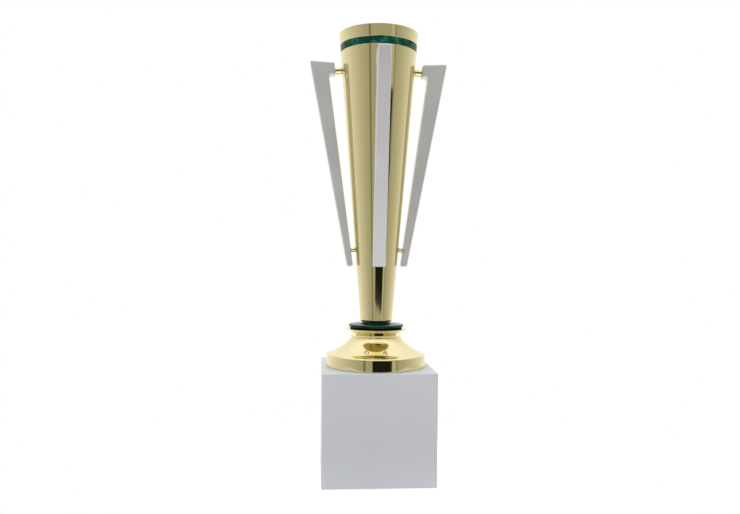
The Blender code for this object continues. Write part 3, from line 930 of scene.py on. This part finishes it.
def with_opening(w, surround, direction, degrees, rise):
    """The surround with the dark opening in front, which is wider above, and the hood over it."""
    noise = w.add("ShaderNodeTexNoise")
    noise.inputs["Scale"].default_value = 11.0
    noise.inputs["Detail"].default_value = 3.0
    w.join(direction, noise.inputs["Vector"])
    wobble = w.calc("MULTIPLY", w.calc("SUBTRACT", noise.outputs["Fac"], 0.5), OPENING_WOBBLE)
    degrees = w.calc("ADD", degrees, wobble)

    across = w.calc("MAXIMUM", w.calc("SUBTRACT", degrees, OPENING_SLANT_START), 0.0)
    across = w.calc("MINIMUM", across, OPENING_SLANT_WIDTH)
    lifted = w.calc("ADD", rise, w.calc("MULTIPLY", across, OPENING_SLANT))
    lifted = w.calc("ADD", lifted, w.calc("MULTIPLY", wobble, OPENING_WOBBLE_RISE))
    above = w.step(lifted, *OPENING_LOWER_EDGE)
    height = w.calc("MULTIPLY", w.before(rise, *OPENING_UPPER_EDGE), above)

    extra = w.calc("MULTIPLY", w.step(rise, *OPENING_WIDER_ABOVE), OPENING_EXTRA_WIDTH)
    narrowed = w.calc("SUBTRACT", degrees, extra)
    past_left = w.step(degrees, *OPENING_LEFT_EDGE)
    width = w.calc("MULTIPLY", past_left, w.before(narrowed, *OPENING_RIGHT_EDGE))
    fringe = w.calc("MULTIPLY", w.step(narrowed, *OPENING_FRINGE), height)
    dark = w.mix(fringe, OPENING_DARK, OPENING_EDGE)
    surround = w.mix(w.calc("MULTIPLY", width, height), surround, dark)
    hood = w.calc("MULTIPLY", w.within(rise, *HOOD_RISE), w.within(degrees, *HOOD_ROUND))
    return w.mix(hood, surround, HOOD_DARK)


def make_world():
    """A light tent: a white surround that is dimmer on the camera's side, with a dark opening."""
    world = bpy.data.worlds.new("tent")
    bpy.context.scene.world = world
    world.use_nodes = True
    w = WorldNodes(world.node_tree)
    coords = w.add("ShaderNodeTexCoord")
    turned_coords = w.add("ShaderNodeVectorRotate", rotation_type="Z_AXIS")
    turned_coords.inputs["Angle"].default_value = -CAMERA_AZIMUTH
    w.join(coords.outputs["Generated"], turned_coords.inputs["Vector"])
    direction = turned_coords.outputs["Vector"]
    parts = w.add("ShaderNodeSeparateXYZ")
    w.join(direction, parts.inputs["Vector"])
    x, y, z = parts.outputs
    degrees = w.calc("MULTIPLY", w.calc("ARCTAN2", y, x), math.degrees(1))
    rise = w.calc("MULTIPLY", w.calc("ARCSINE", z), math.degrees(1))
    surround = with_opening(w, tent_light(w, degrees, z), direction, degrees, rise)

    # The camera itself sees plain white behind the trophy
    path = w.add("ShaderNodeLightPath")
    seen = w.mix(path.outputs["Is Camera Ray"], surround, (1.0, 1.0, 1.0))
    background = w.add("ShaderNodeBackground")
    w.join(seen, background.inputs["Color"])
    output = w.add("ShaderNodeOutputWorld")
    w.join(background.outputs["Background"], output.inputs["Surface"])


def make_floor():
    """A pale round floor whose edge fades out into the white surround."""
    bm = bmesh.new()
    bmesh.ops.create_circle(bm, cap_ends=True, segments=96, radius=FLOOR_RADIUS)
    mesh = bpy.data.meshes.new("Floor")
    bm.to_mesh(mesh)
    bm.free()
    floor = bpy.data.objects.new("Floor", mesh)
    bpy.context.scene.collection.objects.link(floor)
    m = Nodes("studio_floor")
    flat = m.add("ShaderNodeVectorMath", operation="LENGTH")
    m.join(m.coords, flat.inputs[0])
    distance = flat.outputs["Value"]
    fade = m.range(distance, FLOOR_FADE_START, FLOOR_FADE_END, 1.0, 0.0, smooth=True)
    tint = m.ramp(m.noise(60.0, detail=3.0), [(0.3, (0.86, 0.86, 0.86)), (0.7, (0.88, 0.88, 0.88))])
    m.set(Roughness=0.8, Specular_IOR_Level=0.1)
    seen = m.add("ShaderNodeLightPath").outputs["Is Camera Ray"]
    m.set(Emission_Color=(1.0, 1.0, 1.0, 1.0))
    glow = m.math("ADD", m.math("MULTIPLY", seen, FLOOR_GLOW_SEEN), FLOOR_GLOW)
    m.feed(Base_Color=tint, Alpha=fade, Emission_Strength=glow)
    mesh.materials.append(m.material)


def make_lights():
    """One wide soft light overhead."""
    light = bpy.data.lights.new("Overhead", "AREA")
    light.shape = "DISK"
    light.size = LAMP_WIDTH
    light.energy = LAMP_POWER
    lamp = bpy.data.objects.new("Overhead", light)
    lamp.location = LAMP_PLACE
    lamp.rotation_euler = (LAMP_TARGET - LAMP_PLACE).to_track_quat("-Z", "Y").to_euler()
    bpy.context.scene.collection.objects.link(lamp)


def make_camera():
    camera = bpy.data.objects.new("Camera", bpy.data.cameras.new("Camera"))
    bpy.context.scene.collection.objects.link(camera)
    camera.data.lens = CAMERA_LENS
    camera.data.sensor_width = 36.0
    camera.data.clip_start = 0.01
    turn_to = Matrix.Rotation(math.radians(-CAMERA_YAW), 4, "Z")
    tip = Matrix.Rotation(math.pi / 2, 4, "X")
    roll = Matrix.Rotation(math.radians(CAMERA_ROLL), 4, "Z")
    camera.matrix_world = Matrix.Translation(CAMERA_PLACE) @ turn_to @ tip @ roll
    bpy.context.scene.camera = camera


make_block()
make_foot()
make_spacer_disc()
make_ring()
make_cup()
make_band()
make_fins()
for fin_side in SIDES:
    for fin_level in LEVELS:
        make_spacer(fin_level, fin_side)
finish_cad_nodes()
make_world()
make_floor()
make_lights()
make_camera()
bpy.context.scene.view_settings.view_transform = "Standard"
bpy.context.scene.view_settings.look = "None"
